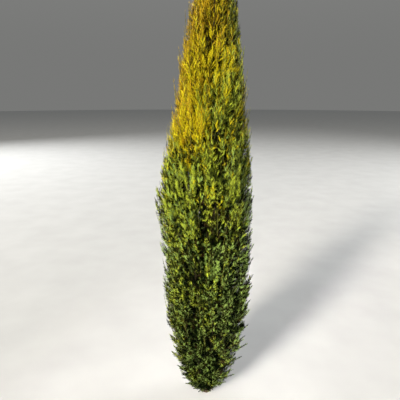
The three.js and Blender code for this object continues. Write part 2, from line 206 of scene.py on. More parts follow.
# The spaces that the masses keep to: wedges of a tier, set off by half a mass from the tier below.
def crown_cells():
    cells = []
    for tier, count in enumerate(MASSES_IN_TIER):
        numbers = seeded_numbers(SEED + tier)
        step = 2 * math.pi / count
        sides = []
        for i in range(count):
            sides.append(step * (i + TIER_TWIST * tier + SIDE_SHIFT * (next(numbers) - 0.5) * 2))
        sides.append(sides[0] + 2 * math.pi)
        for i in range(count):
            middle = (sides[i] + sides[i + 1]) / 2
            half = (sides[i + 1] - sides[i]) / 2
            bulge = LEAST_BULGE + BULGE_SPREAD * next(numbers)
            cells.append(Cell(tier, i, middle, half, bulge, SEED * (tier + 2) + i * 37))
    return cells


# A turn as an angle from minus to plus half a circle.
def wrapped(turn):
    return np.arctan2(np.sin(turn), np.cos(turn))


# How far out from the trunk's axis a mass reaches at a side and height.
def cell_reach(cell, azimuth, z):
    share = np.minimum(1, np.abs(wrapped(azimuth - cell.middle)) / cell.half)
    level = np.exp(-(((z - LEFT_BULGE) / LEFT_BULGE_SPAN) ** 2))
    left = 1 + LEFT_FULLNESS * level * np.maximum(0, -np.cos(azimuth))
    return crown_radius(z) * cell.bulge * left * (1 - RECESS * share * share)


# The way a plume grows at a height: outwards near the ground, almost upright near the leader.
def growth(azimuth, z, extra_tilt, turn):
    share = np.clip(z / TREE_HEIGHT, 0, 1) ** TILT_POWER
    slope = crown_radius(z + 0.5) - crown_radius(z - 0.5)
    tilt = mix(LOW_TILT, HIGH_TILT, share) + OUTLINE_PULL * np.arctan(slope) + extra_tilt
    heading = azimuth + turn
    across = np.sin(tilt)
    return np.stack([np.cos(heading) * across, np.sin(heading) * across, np.cos(tilt)], axis=-1)


# A point at a share of the way along a quadratic curve; the next function gives the heading there.
def curve(start, bend, end, share):
    share = np.asarray(share)[..., None]
    return start * (1 - share) ** 2 + 2 * bend * share * (1 - share) + end * share**2


def curve_heading(start, bend, end, share):
    share = np.asarray(share)[..., None]
    return unit((bend - start) * (1 - share) + (end - bend) * share)


def bough_curve(cell):
    foot = tier_floor(cell.tier, cell.middle, 0) + BOUGH_LIFT
    reach = (LOW_BOUGH_REACH if cell.tier == 0 else BOUGH_REACH) * crown_radius(foot + TIER_MIDDLE)
    along_floor = tier_floor(cell.tier, cell.middle, reach) + BOUGH_LIFT
    tip_height = max(along_floor, foot + BOUGH_LEAST_RISE * reach)
    bend = around(cell.middle, BOUGH_BEND[0] * reach, mix(foot, tip_height, BOUGH_BEND[1]))
    return around(cell.middle, 0, foot), bend, around(cell.middle, reach, tip_height)


def bough_radius(cell):
    return BOUGH_RADIUS * mix(1, TOP_BOUGH_SHARE, cell.tier / LAST_TIER)


# Materials

def linear(hex_colour):
    channels = [int(hex_colour[i : i + 2], 16) / 255 for i in (1, 3, 5)]
    curved = [c / 12.92 if c <= 0.04045 else ((c + 0.055) / 1.055) ** 2.4 for c in channels]
    return (*curved, 1.0)


def add_node(tree, kind, values=None, links=None, stops=(), **settings):
    made = tree.nodes.new(kind)
    for name, value in settings.items():
        setattr(made, name, value)
    for number, (place, colour) in enumerate(stops):
        if number > 1:
            made.color_ramp.elements.new(1.0)
        made.color_ramp.elements[number].position = place
        made.color_ramp.elements[number].color = linear(colour)
    for name, value in (values or {}).items():
        made.inputs[name].default_value = value
    for name, socket in (links or {}).items():
        tree.links.new(socket, made.inputs[name])
    return made


def blank_material(name):
    material = bpy.data.materials.new(name)
    material.use_nodes = True
    material.node_tree.nodes.clear()
    return material


def finish_material(material, shader):
    tree = material.node_tree
    add_node(tree, "ShaderNodeOutputMaterial", links={"Surface": shader.outputs["BSDF"]})
    return material


SCALES_PER_METRE = 330.0  # of 3 mm; real ones are 1.5 mm long, too fine to show


# Scale leaves, closely overlapping on the shoot: the fresh ones have a thin wax bloom, with a soft,
# broken shine, which the old shaded ones have lost.
def scale_leaf(name, colour, roughness, bloom):
    material = blank_material(name)
    tree = material.node_tree
    place = add_node(tree, "ShaderNodeTexCoord").outputs["Object"]
    scales = add_node(tree, "ShaderNodeTexVoronoi", {"Scale": SCALES_PER_METRE}, {"Vector": place})
    patches = add_node(tree, "ShaderNodeTexNoise", {"Scale": 90.0, "Detail": 3.0}, {"Vector": place})
    shine = add_node(
        tree,
        "ShaderNodeMapRange",
        {"From Min": 0.3, "From Max": 0.7, "To Min": roughness - 0.1, "To Max": roughness + 0.12},
        {"Value": patches.outputs["Fac"]},
    )
    heights = {"Height": scales.outputs["Distance"]}
    bump = add_node(tree, "ShaderNodeBump", {"Strength": 0.5, "Distance": 0.0006}, heights)
    shader = add_node(
        tree,
        "ShaderNodeBsdfPrincipled",
        {"Base Color": linear(colour), "IOR": 1.45, "Specular IOR Level": bloom},
        {"Roughness": shine.outputs["Result"], "Normal": bump.outputs["Normal"]},
    )
    return finish_material(material, shader)


# Cypress bark, thin and fibrous, that weathers grey-brown outside and shows dark brown in its cracks.
# Its dry fibres scatter the light, so it has hardly any shine. Strand and relief are in metres.
def cypress_bark(name, stops, strand, relief):
    material = blank_material(name)
    tree = material.node_tree
    place = add_node(tree, "ShaderNodeTexCoord").outputs["Object"]
    upright = add_node(tree, "ShaderNodeMapping", {"Scale": (1.0, 1.0, 0.09)}, {"Vector": place})
    fibres = add_node(
        tree,
        "ShaderNodeTexNoise",
        {"Scale": 1 / strand, "Detail": 6.0, "Roughness": 0.65},
        {"Vector": upright.outputs["Vector"]},
    ).outputs["Fac"]
    patches = add_node(tree, "ShaderNodeTexNoise", {"Scale": 22.0, "Detail": 3.0}, {"Vector": place})
    shades = {"A": fibres, "B": patches.outputs["Fac"]}
    blend = add_node(tree, "ShaderNodeMix", {"Factor": 0.35}, shades, data_type="FLOAT")
    colour = add_node(tree, "ShaderNodeValToRGB", links={"Fac": blend.outputs["Result"]}, stops=stops)
    dryness = add_node(tree, "ShaderNodeMapRange", {"To Min": 0.98, "To Max": 0.78}, {"Value": fibres})
    bump = add_node(tree, "ShaderNodeBump", {"Strength": 0.8, "Distance": relief}, {"Height": fibres})
    shader = add_node(
        tree,
        "ShaderNodeBsdfPrincipled",
        {"IOR": 1.5, "Specular IOR Level": 0.25},
        {
            "Base Color": colour.outputs["Color"],
            "Roughness": dryness.outputs["Result"],
            "Normal": bump.outputs["Normal"],
        },
    )
    return finish_material(material, shader)


# Weathered grey-brown on the trunk and boughs, darker on the twigs, whose bark is also darkened as
# painted shade inside the crown, still green on the youngest ones
TRUNK_STOPS = [(0.32, "#1f1812"), (0.45, "#3a3026"), (0.56, "#51463a"), (0.72, "#6b6153")]
TWIG_STOPS = [(0.3, "#14110a"), (0.5, "#2c2315"), (0.7, "#4a3d28")]
YOUNG_STOPS = [(0.3, "#2f3410"), (0.5, "#56591a"), (0.7, "#7d7a2c")]
trunk_bark = cypress_bark("cypress_trunk_bark", TRUNK_STOPS, 0.004, 0.0012)
twig_bark = cypress_bark("cypress_twig_bark", TWIG_STOPS, 0.002, 0.0003)
young_bark = cypress_bark("cypress_young_bark", YOUNG_STOPS, 0.002, 0.0002)

# Kinds of foliage, each with the colours of its old shoots, darkened into painted shade, and of its
# fresh ones, and the bloom of the fresh ones; the steps between are the same foliage in more or less
# painted shade
KINDS = [
    ("green", "#050e02", "#88a54a", 0.56),
    ("lime", "#0f1802", "#a4b42e", 0.44),
    ("gold", "#242302", "#d0c20c", 0.25),
    ("amber", "#2a2402", "#be9e0e", 0.22),
]
# The steps run from old shoots in the deepest painted shade to fresh unshaded ones.
STEPS = 6  # from old to fresh, of each kind
OLD_ROUGHNESS = 0.75
FRESH_ROUGHNESS = 0.52
OLD_BLOOM = 0.04


def between(dark, bright, share):
    pairs = [(int(dark[i : i + 2], 16), int(bright[i : i + 2], 16)) for i in (1, 3, 5)]
    return "#" + "".join(f"{round(mix(low, high, share)):02x}" for low, high in pairs)


foliage_tints = []
for kind, old_and_shaded, fresh, bloom in KINDS:
    for step in range(STEPS):
        freshness_and_light = step / (STEPS - 1)
        name = f"{kind}_scale_leaves_{step + 1}"
        roughness = mix(OLD_ROUGHNESS, FRESH_ROUGHNESS, freshness_and_light)
        waxiness = mix(OLD_BLOOM, bloom, freshness_and_light**2)
        foliage_tints.append(scale_leaf(name, between(old_and_shaded, fresh, freshness_and_light), roughness, waxiness))
foliage_tints.append(scale_leaf("dry_brown_scale_leaves", "#2c1e0d", 0.8, 0.06))


# Meshes

def joined_mesh(name, corners, faces, materials, tints=None, smooth=False):
    mesh = bpy.data.meshes.new(name)
    mesh.vertices.add(len(corners))
    mesh.vertices.foreach_set("co", (corners * METRE).astype(np.float32).ravel())
    mesh.loops.add(faces.size)
    mesh.loops.foreach_set("vertex_index", faces.astype(np.int32).ravel())
    mesh.polygons.add(len(faces))
    starts = np.arange(0, faces.size, faces.shape[1], dtype=np.int32)
    mesh.polygons.foreach_set("loop_start", starts)
    for material in materials:
        mesh.materials.append(material)
    if tints is not None:
        mesh.polygons.foreach_set("material_index", tints.astype(np.int32))
    mesh.update(calc_edges=True)
    if smooth:
        mesh.shade_smooth()
    piece = bpy.data.objects.new(name, mesh)
    bpy.context.scene.collection.objects.link(piece)
    return piece


# Two directions square to each heading and to each other. A heading that climbs by more than the
# given share is taken as upright.
def square_directions(heading, upright):
    level = np.where(np.abs(heading[..., 2:]) > upright, [1.0, 0, 0], [0, 0, 1.0])
    first = unit(np.cross(heading, level))
    return first, np.cross(heading, first)


# The faces of one tube, ring after ring.
def tube_faces(rings, sides):
    side = np.arange(sides)
    after = (side + 1) % sides
    step = (np.arange(rings - 1) * sides)[:, None]
    quads = [step + side, step + after, step + after + sides, step + side + sides]
    return np.stack(quads, axis=-1).reshape(-1, 4)


UPRIGHT_LIMB = 0.9


# Tapering limbs along paths of equally many points, all joined.
def limbs(paths, radii, sides):
    count, points = paths.shape[:2]
    first, second = square_directions(unit(paths[:, -1] - paths[:, 0]), UPRIGHT_LIMB)
    angle = np.arange(sides) / sides * 2 * np.pi
    ring = first[:, None] * np.cos(angle)[:, None] + second[:, None] * np.sin(angle)[:, None]
    corners = paths[:, :, None] + radii[:, :, None, None] * ring[:, None]
    faces = (np.arange(count) * points * sides)[:, None, None] + tube_faces(points, sides)[None]
    return corners.reshape(-1, 3), faces.reshape(-1, 4)


def join(parts):
    corners = []
    faces = []
    total = 0
    for some_corners, some_faces in parts:
        corners.append(some_corners)
        faces.append(some_faces + total)
        total += len(some_corners)
    return np.concatenate(corners), np.concatenate(faces)


# Smooth random hills over a wrapped grid, from 0 to 1.
def hills(random, across, up, cells_across, cells_up):
    heights = random.random((cells_up + 2, cells_across))
    u = across * cells_across
    v = np.clip(up, 0, 1) * cells_up
    column = np.floor(u).astype(int)
    row = np.minimum(np.floor(v).astype(int), cells_up - 1)
    fu = u - column
    fv = v - row
    fu = fu * fu * (3 - 2 * fu)
    fv = fv * fv * (3 - 2 * fv)
    left = column % cells_across
    right = (column + 1) % cells_across
    low = mix(heights[row, left], heights[row, right], fu)
    high = mix(heights[row + 1, left], heights[row + 1, right], fu)
    return mix(low, high, fv)


WANDERS = 6  # sideways swings of the ridges in a turn
WANDER = 0.09  # their width, as a share of a turn
FINE_SHARE = 0.3  # of the relief
MIDDLE_RELIEF = 0.6  # the level that keeps the limb's own radius


# The fibrous relief of the bark: long narrow ridges with cracks between them, from 0 to 1.
def bark_relief(random, across, up, ridges, lengths):
    wander = hills(random, across, up, WANDERS, max(2, lengths // 3)) * WANDER
    strands = 1 - np.abs(2 * hills(random, across + wander, up, ridges, lengths) - 1)
    fine = hills(random, across + wander, up, ridges * 2, lengths * 2)
    return mix(strands, fine, FINE_SHARE)


TRUNK_SIDES = 60
TRUNK_RINGS = 340
RINGS_TO_FOOT = 1.25  # how much closer the rings stand near the ground
TRUNK_RIDGES = 17  # round the trunk
TRUNK_RIDGE_LENGTHS = 60  # up the trunk
TRUNK_RELIEF = 1.6
LEAST_RELIEF = 0.1  # on the leader, against the foot
YOUNG_LEADER = 1980  # above this the leader is still green


def trunk_mesh():
    random = np.random.default_rng(SEED)
    share = np.linspace(0, 1, TRUNK_RINGS)
    z = (TREE_HEIGHT * share**RINGS_TO_FOOT)[:, None]
    turn = (np.arange(TRUNK_SIDES) / TRUNK_SIDES)[None]
    azimuth = turn * 2 * np.pi
    up = z / TREE_HEIGHT + 0 * turn
    ridge = bark_relief(random, turn + 0 * z, up, TRUNK_RIDGES, TRUNK_RIDGE_LENGTHS)
    thick = np.clip(trunk_radius(z) / TRUNK_RADIUS, LEAST_RELIEF, 1)
    r = bark_radius(azimuth, z) + TRUNK_RELIEF * thick * (ridge - MIDDLE_RELIEF)
    return around(azimuth, r, z).reshape(-1, 3), tube_faces(TRUNK_RINGS, TRUNK_SIDES)


BOUGH_SIDES = 16
BOUGH_RINGS = 36
BOUGH_RIDGES = 7
BOUGH_RIDGE_LENGTHS = 10
BOUGH_RELIEF = 0.9
BOUGH_SEED = 5  # past the seed of its mass


def bough_mesh(cell):
    random = np.random.default_rng(cell.seed + BOUGH_SEED)
    share = np.linspace(0, 1, BOUGH_RINGS)
    start, bend, end = bough_curve(cell)
    path = curve(start, bend, end, share)
    radii = bough_radius(cell) * mix(1, BOUGH_TAPER, share)
    corners, faces = limbs(path[None], radii[None], BOUGH_SIDES)
    turn = np.tile(np.arange(BOUGH_SIDES) / BOUGH_SIDES, BOUGH_RINGS)
    up = np.repeat(share, BOUGH_SIDES)
    ridge = bark_relief(random, turn, up, BOUGH_RIDGES, BOUGH_RIDGE_LENGTHS)
    centre = np.repeat(path, BOUGH_SIDES, axis=0)
    swell = 1 + BOUGH_RELIEF * (ridge - MIDDLE_RELIEF) / np.repeat(radii, BOUGH_SIDES)
    return centre + (corners - centre) * swell[:, None], faces


# Foliage

SPIRES = [16, 15, 14, 14, 15, 13]  # on each mass, by tier
SIDE_PLUMES = 5  # on each spire, round its leading plume
SHOOTS = 34  # on a plume
# The inner plumes are dark as painted shade inside the masses.
INNER_PLUMES = 31  # on each mass, dark, between its limb and the spires
INNER_SHOOTS = 13  # on an inner plume
WISPS = [0, 5, 7, 11, 15, 20]  # on each mass, by tier
WISP_SHOOTS = 26  # on a wisp
FRESH_LENGTHS = (14, 36)  # the shortest and longest shoots on the spires' plumes
SHADED_LENGTHS = (38, 64)  # on the inner plumes
THIN_LENGTHS = (10, 24)  # on the wisps
# The darker old shoots are partly older growth and partly painted shade between the lit ones.
OLD_AND_SHADED_SHARE = 0.4  # of the shoots
INNER_OLD_AND_SHADED_SHARE = 0.5  # of the shoots on the inner plumes
SHADED_BREADTH = 1.2  # of the inner shoots, against the outer ones
FULL_TIERS = 3  # the low tiers, with room for plumes that stand out
OVERHANG = 18  # of twigs and shoots past the solids' box

Curves = namedtuple("Curves", "start bend end")
Plumes = namedtuple("Plumes", "start bend end width tone kind past opening")
Shoots = namedtuple("Shoots", "start heading side length tone kind")

BOX_LOW, BOX_HIGH = np.array(solids_box) / METRE + np.array([[-OVERHANG], [OVERHANG]])
UPWARD = np.array([0, 0, 1.0])


# A value for the full tiers or for the narrow ones above them.
def by_tier(cell, full, narrow):
    return full if cell.tier < FULL_TIERS else narrow


# Random numbers to either side of nought, over a span in all.
def either_way(random, shape, span):
    return span * (random.random(shape) - 0.5)


# Random factors about one.
def uneven(random, shape, span=0.3):
    return mix(1 - span / 2, 1 + span / 2, random.random(shape))


# Sides dealt out over a mass by golden steps.
def dealt_sides(cell, count, unevenness, spread, random):
    across = ((np.arange(count) * GOLDEN_STEP + unevenness * random.random(count)) % 1) * 2 - 1
    return cell.middle + spread * across * cell.half


# Shares of a height, dealt out from low to high.
def dealt_heights(count, random):
    return (np.arange(count) + random.random(count)) / count


LIMB_POINTS = 12
LIMB_BELOW_TOP = 60
LIMB_LEAST_RISE = 90
LIMB_REACH = 0.52
LIMB_BEND = 0.45


# A mass's own limb: it carries the bough on, and up through the middle of the mass.
def mass_limb(cell):
    _, bend, tip = bough_curve(cell)
    top = edge_height(tier_ceiling, cell.tier, cell.middle) - LIMB_BELOW_TOP
    top = max(top, tip[2] + LIMB_LEAST_RISE)
    end = around(cell.middle, LIMB_REACH * crown_radius(top), top)
    middle = tip + unit(tip - bend) * LIMB_BEND * np.linalg.norm(end - tip)
    return curve(tip, middle, end, np.linspace(0, 1, LIMB_POINTS))


OUTER_TWIGS_FROM = 0.45  # of the bough's length
INNER_TWIGS_FROM = 0.1
TWIGS_TO = 0.95
BOUGH_POINTS = 7


# Where twigs may leave the limbs: up the bough and the mass's own limb, by height.
def twig_foot(cell, limb, height, first):
    bough = curve(*bough_curve(cell), np.linspace(first, TWIGS_TO, BOUGH_POINTS))
    line = np.concatenate([bough, limb])
    order = np.maximum.accumulate(line[:, 2] + np.arange(len(line)) * 1e-3)
    return np.stack([np.interp(height, order, line[:, i]) for i in range(3)], axis=-1)


LEAST_REACH = 6


# Points drawn in towards the trunk's axis where they stand out of a share of the cell's reach.
def kept_within(cell, points, share):
    azimuth, r = cylindrical(points)
    limit = share * cell_reach(cell, azimuth, points[..., 2])
    return around(azimuth, np.minimum(r, np.maximum(limit, LEAST_REACH)), points[..., 2])


UPRIGHT_PLUME = 0.95


# A direction square to each heading, at an angle about it.
def side_directions(heading, angle):
    first, second = square_directions(heading, UPRIGHT_PLUME)
    return first * np.cos(angle)[..., None] + second * np.sin(angle)[..., None]


def leaning(heading, side, angle):
    angle = np.asarray(angle)[..., None]
    return heading * np.cos(angle) + side * np.sin(angle)


# How bright the foliage is by height, from 0 old and in painted shade to 1 fresh and in painted
# sunlight, partly the shoots' age and partly painted light and shade, and its kind
LIGHT_HEIGHTS = [0, 300, 600, 800, 980, 1120, 1200, 1350, 1480, 1600, 1800, 1950, 2300]
BRIGHTNESS = [0.21, 0.26, 0.29, 0.35, 0.28, 0.45, 0.55, 0.61, 0.76, 0.74, 0.69, 0.6, 0.84]
KIND_HEIGHTS = [0, 600, 900, 1050, 1200, 1350, 1480, 1600, 1800, 1950, 2300]
KIND_LEVELS = [0, 0.05, 0.15, 0.4, 0.82, 1.2, 1.72, 1.95, 2.15, 2.4, 2.3]

# The painted light and shade that the right and left sides add to it
RIGHT_HEIGHTS = [300, 600, 750, 1000, 1250, 1400, 1560, 1720]
RIGHT_PAINTED_LIGHT = [0.08, -0.08, -0.1, -0.2, 0.08, 0.1, -0.38, -0.3]
LEFT_HEIGHTS = [300, 600, 750, 1000, 1500]
LEFT_PAINTED_LIGHT = [-0.26, -0.28, -0.2, -0.04, 0.05]
GREENER_HEIGHTS = [1300, 1500]
GREENER_TO_RIGHT = [0.35, 0.72]

# Spots on the crown, each with its side and height and how far it spreads round and up: sunny spots of
# painted sunlight that are also more golden, and hollows where the sprays dip in and thin out, darkened
# with painted shade
SUNNY_SPOTS = [
    (-2.05, 1475, 0.5, 100),
    (-1.27, 1745, 0.24, 85),
    (-1.42, 1670, 0.14, 50),
    (-1.0, 1700, 0.16, 50),
    (-1.96, 1005, 0.11, 40),
    (-0.9, 1185, 0.15, 55),
    (-2.1, 1210, 0.35, 55),
    (-2.35, 1060, 0.2, 50),
    (-1.5, 1145, 0.2, 45),
    (-1.45, 775, 0.14, 50),
    (0.9, 1250, 0.5, 110),
]
HOLLOWS = [
    (-1.58, 1500, 0.12, 120),
    (-1.2, 1300, 0.17, 52),
    (-1.42, 1400, 0.17, 50),
    (-2.14, 1350, 0.17, 52),
    (-1.75, 1800, 0.08, 70),
    (-1.8, 1385, 0.15, 45),
    (-1.76, 1030, 0.08, 95),
    (-1.4, 960, 0.24, 65),
    (-1.85, 785, 0.17, 60),
    (-1.65, 585, 0.09, 50),
    (-1.22, 600, 0.08, 35),
    (-1.35, 1050, 0.14, 50),
    (-1.93, 430, 0.15, 60),
    (-0.79, 330, 0.2, 60),
    (0.3, 900, 0.16, 90),
    (0.5, 620, 0.2, 60),
    (1.3, 1090, 0.13, 100),
    (2.2, 780, 0.2, 70),
    (2.9, 1330, 0.14, 80),
]
SUNNY_LIGHT = 0.28
SUNNY_KIND = 0.5
PATCH_LIGHT = 0.03
PATCH_KIND = 0.2

# Waves round and up the crown: waves to a turn, height to a radian, and turn
LIGHT_WAVES = [(2, 150, 0), (3, -105, 1), (1, 70, 0)]
KIND_WAVES = [(2, -190, 2), (3, 120, 0)]


# How strongly a place lies in one of the spots, from 0 to 1.
def within(spots, azimuth, z):
    strength = 0 * azimuth
    for side, height, across, up in spots:
        spread = (wrapped(azimuth - side) / across) ** 2 + ((z - height) / up) ** 2
        strength = np.maximum(strength, np.exp(-spread))
    return strength


def waves(azimuth, z, terms):
    return sum(np.cos(count * azimuth + z / rise + turn) for count, rise, turn in terms)


# A value for the right and one for the left, each fading to nothing at the front and back.
def by_side(azimuth, right, left):
    side = np.cos(azimuth)
    return right * np.maximum(0, side) + left * np.maximum(0, -side)


# The foliage's tone by height, side and spot, with painted light and shade in it.
def brightness(azimuth, z):
    right = np.interp(z, RIGHT_HEIGHTS, RIGHT_PAINTED_LIGHT)
    left = np.interp(z, LEFT_HEIGHTS, LEFT_PAINTED_LIGHT)
    level = np.interp(z, LIGHT_HEIGHTS, BRIGHTNESS) + by_side(azimuth, right, left)
    level = level + SUNNY_LIGHT * within(SUNNY_SPOTS, azimuth, z)
    return level + PATCH_LIGHT * waves(azimuth, z, LIGHT_WAVES)


# From 0 for the first kind of foliage to 3 for the last; greener to the right, partly the shade side's
# own greener growth and partly painted shade.
def kind_level(azimuth, z):
    greener = np.interp(z, GREENER_HEIGHTS, GREENER_TO_RIGHT) * np.cos(azimuth)
    level = np.interp(z, KIND_HEIGHTS, KIND_LEVELS) - greener
    level = level + SUNNY_KIND * within(SUNNY_SPOTS, azimuth, z)
    return level + PATCH_KIND * waves(azimuth, z, KIND_WAVES)


# The spires stand closer together in upright columns, which wander a little, with gaps between; the
# columns are painted lighter and the gaps darker, as painted shade.
COLUMNS = 12
COLUMN_WANDERS = [(1.6, 0, 210), (0.9, 2, 97)]  # width, waves to a turn, height to a radian
COLUMN_PULL = 0.6
COLUMN_DIP = 0.05
COLUMN_LIGHT = 0.08
HOLLOW_DIP = 0.18


def column_phase(azimuth, z):
    phase = COLUMNS * azimuth
    for width, count, rise in COLUMN_WANDERS:
        phase = phase + width * np.sin(count * azimuth + z / rise)
    return phase


FOOT_SWELL = 0.2
FOOT_SWELL_HEIGHT = 130
RIGHT_SWELL_HEIGHTS = [150, 250, 330, 450, 620, 750, 950]
RIGHT_SWELL = [0.12, 0.06, 0.2, 0.14, 0.1, 0.09, 0.02]
LEFT_SWELL_HEIGHTS = [200, 330, 400, 620, 750, 900, 1660, 1780, 1860]
LEFT_SWELL = [0, -0.07, 0.07, 0.06, -0.04, 0, 0, 0.2, 0]


# How far the sprays stand out against the solids' outline: more all round the foot, more or less
# up the right and left sides, and more where the top's left shoulder has a stray spire.
def spray_swell(azimuth, z):
    right = np.interp(z, RIGHT_SWELL_HEIGHTS, RIGHT_SWELL)
    left = np.interp(z, LEFT_SWELL_HEIGHTS, LEFT_SWELL)
    return 1 + FOOT_SWELL * np.exp(-z / FOOT_SWELL_HEIGHT) + by_side(azimuth, right, left)


SPIRE_SPREAD = 0.98  # of the mass's half width
SPIRES_ABOVE_GROUND = 4
SPIRES_ABOVE_FLOOR = 70
SPIRES_PAST_CEILING = 60
SPIRES_BELOW_TOP = 90
SPIRE_LEAST_REACH = (0.93, 0.9)  # of the cell's, in the full tiers and the narrow ones
SPIRE_REACH = 1.07
SPIRE_LENGTH_HEIGHTS = [0, 900, 1500]
SPIRE_LENGTHS = [130, 250, 290]
SPIRE_TILT_SPREAD = 0.14
TIP_TILT = -0.12  # against the growth at its height
BASE_TILT = 0.2
ROOMY_RADIUS = 130  # of the crown, where spires have their full length
LEAST_ROOM = 0.45
CRAMPED_LENGTH = 0.6
FOOT_DROP = 0.9  # of the way in to the limb
FOOT_LEAST_WAY = 15
LIMBS_AT = 0.4  # of the crown's radius
SPIRE_LIGHT_SPREAD = 0.14
KIND_SPREAD = 1.0


# The leading twigs of a mass, placed by the source's rule for its plumes.
def grow_spires(cell, limb, random):
    count = SPIRES[cell.tier]
    azimuth = dealt_sides(cell, count, 0.1, SPIRE_SPREAD, random)
    up = dealt_heights(count, random)
    above = SPIRES_ABOVE_GROUND if cell.tier == 0 else SPIRES_ABOVE_FLOOR
    past = -SPIRES_BELOW_TOP if cell.tier == LAST_TIER else SPIRES_PAST_CEILING
    low = edge_height(tier_floor, cell.tier, azimuth) + above
    high = edge_height(tier_ceiling, cell.tier, azimuth) + past
    z = mix(low, high, up)
    azimuth = azimuth - COLUMN_PULL / COLUMNS * np.sin(column_phase(azimuth, z))
    column = np.cos(column_phase(azimuth, z))
    reach = cell_reach(cell, azimuth, z) * spray_swell(azimuth, z)
    dip = COLUMN_DIP * (column - 1) - HOLLOW_DIP * within(HOLLOWS, azimuth, z)
    least = by_tier(cell, *SPIRE_LEAST_REACH)
    r = (mix(least, SPIRE_REACH, random.random(count)) + dip) * reach
    tip = np.clip(around(azimuth, r, z), BOX_LOW, BOX_HIGH)
    turn = either_way(random, count, HEADING_SPREAD)
    tilt = either_way(random, count, SPIRE_TILT_SPREAD)
    room = np.clip(crown_radius(z) / ROOMY_RADIUS, LEAST_ROOM, 1)
    length = np.interp(z, SPIRE_LENGTH_HEIGHTS, SPIRE_LENGTHS) * uneven(random, count)
    length = length * mix(CRAMPED_LENGTH, 1, room)
    half = (length / 2)[:, None]
    bend = tip - growth(azimuth, z, tilt + TIP_TILT, turn) * half
    base = bend - growth(azimuth, z, tilt + BASE_TILT, turn) * half
    _, base_r = cylindrical(base)
    way_in = np.maximum(base_r - LIMBS_AT * crown_radius(base[:, 2]), FOOT_LEAST_WAY)
    foot = twig_foot(cell, limb, base[:, 2] - FOOT_DROP * way_in, OUTER_TWIGS_FROM)
    tone = brightness(azimuth, z) + either_way(random, count, SPIRE_LIGHT_SPREAD) + COLUMN_LIGHT * column
    kind = kind_level(azimuth, z) + either_way(random, count, KIND_SPREAD)
    return Curves(base, bend, tip), foot, room, tone, kind


LEADING_FROM = 0.42  # of the spire's length
LEADING_BEND = 0.72
LEADING_WIDTH = 0.075  # of the spire's length
LEADING_LIGHT = 0.1
LEADING_PAST = 18.0  # how far its shoots may pass the outline
LEADING_OPENING = 0.7  # of its shoots, against those of the side plumes
SIDE_FIRST = 0.04
SIDE_STEP = 0.13
SIDE_STEP_SPREAD = 0.06
SIDE_TURN_SPREAD = 0.5
SPIRE_TURN = 6.3
SIDE_LENGTHS = (0.6, 0.42)  # of the spire's, low and high on it
SIDE_LEAN = (0.42, 0.62)  # off the spire, at the plume's foot
RISING_LEAN = (0.02, 0.18)  # and further out, where it turns up
TURN_UP = 0.45
SIDE_WIDTH = 0.19  # of the plume's length
SIDE_PAST = (9.0, 3.0)  # in the full tiers and the narrow ones
SIDE_BEND_REACH = (0.95, 0.91)
SIDE_END_REACH = (1.0, 0.95)
LIGHT_UP_SPIRE = 0.3
MEAN_SIDE_PLACE = 0.35
SIDE_LIGHT_SPREAD = 0.1
CRAMPED_WIDTH = 0.65


# The plumes of each spire: a leading one to its tip, and others that lean out round it and turn up.
def grow_plumes(cell, spires, room, tone, kind, random):
    count = len(room)
    length = np.linalg.norm(spires.end - spires.start, axis=-1)
    starts = [curve(*spires, np.full(count, LEADING_FROM))]
    bends = [curve(*spires, np.full(count, LEADING_BEND))]
    ends = [spires.end]
    widths = [length * LEADING_WIDTH]
    tones = [tone + LEADING_LIGHT]
    for number in range(SIDE_PLUMES):
        share = SIDE_FIRST + SIDE_STEP * number + SIDE_STEP_SPREAD * random.random(count)
        start = curve(*spires, share)
        axis = curve_heading(*spires, share)
        turn = GOLDEN_TURN * number + SPIRE_TURN * np.arange(count) * GOLDEN_STEP
        side = side_directions(axis, turn + SIDE_TURN_SPREAD * random.random(count))
        long = length * mix(*SIDE_LENGTHS, share) * uneven(random, count)
        leaning_out = leaning(axis, side, mix(*SIDE_LEAN, random.random(count)))
        bend = start + leaning_out * (0.5 * long)[:, None]
        rising = leaning(axis, side, mix(*RISING_LEAN, random.random(count)))
        end = bend + unit(rising + TURN_UP * UPWARD) * (0.5 * long)[:, None]
        starts.append(start)
        bends.append(kept_within(cell, bend, by_tier(cell, *SIDE_BEND_REACH)))
        ends.append(kept_within(cell, end, by_tier(cell, *SIDE_END_REACH)))
        widths.append(long * SIDE_WIDTH)
        lift = LIGHT_UP_SPIRE * (share - MEAN_SIDE_PLACE)
        tones.append(tone + lift + either_way(random, count, SIDE_LIGHT_SPREAD))
    widths = np.concatenate(widths) * mix(CRAMPED_WIDTH, 1, np.tile(room, SIDE_PLUMES + 1))
    kinds = np.tile(kind, SIDE_PLUMES + 1)
    past = np.repeat([LEADING_PAST] + SIDE_PLUMES * [by_tier(cell, *SIDE_PAST)], count)
    opening = np.repeat([LEADING_OPENING] + SIDE_PLUMES * [1.0], count)
    starts, bends, ends, tones = [np.concatenate(parts) for parts in (starts, bends, ends, tones)]
    return Plumes(starts, bends, ends, widths, tones, kinds, past, opening)


INNER_SHARES = (0.14, 0.8)  # of the way out to the outline
INNER_CROWDING = 0.6  # below 1 more of them stand further out
INNER_GAP = 10  # from the tier's floor and ceiling
INNER_DROP = 0.8
INNER_LEAST_WAY = 25
INNER_LIMBS_AT = 0.3
INNER_TILT = 0.1
INNER_BEND = 0.45
INNER_LIGHT = (0.02, 0.14)
INNER_KIND = -0.6  # greener than the outside
INNER_WIDTH = 34.0
